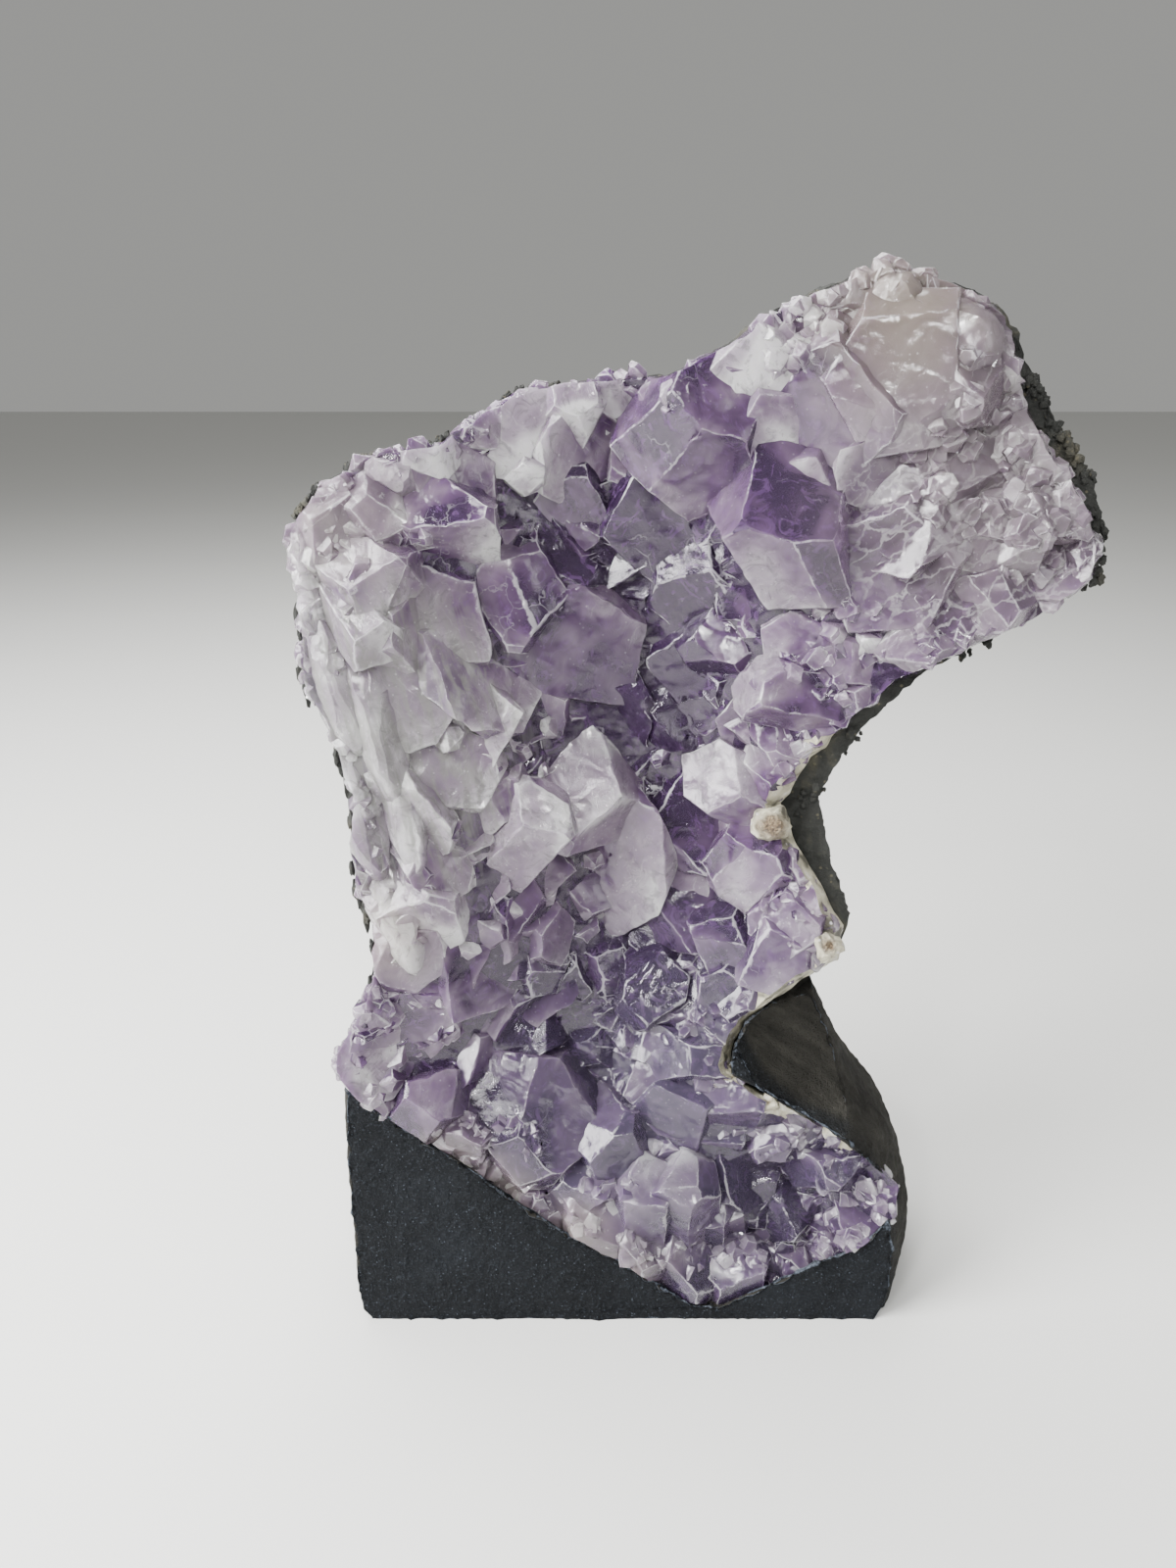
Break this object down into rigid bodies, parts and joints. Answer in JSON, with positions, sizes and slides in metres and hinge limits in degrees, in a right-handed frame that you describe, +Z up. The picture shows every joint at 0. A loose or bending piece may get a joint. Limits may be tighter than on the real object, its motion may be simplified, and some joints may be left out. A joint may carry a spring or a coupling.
{
  "type": "amethyst geode on a cast foot",
  "caption": "Upright cut amethyst geode with a flat open face, a deep purple hollow and pale rims, set in a dark cast foot with a flat underside.",
  "frame": {"origin": "on the foot's flat underside, at the middle of the foot", "axes": "+Z up, +X to the right and +Y to the back as one looks at the open crystal face"},
  "size_m": [0.2144, 0.093, 0.2995],
  "materials": {
    "amethyst": "glassy quartz",
    "basalt": "rough broken rock",
    "foot_coat": "sandy dark coat over cement"
  },
  "bodies": {
    "root": {"crystal_crust": "amethyst", "basalt_rind": "basalt", "cast_foot": "foot_coat"}
  },
  "joints": []
}
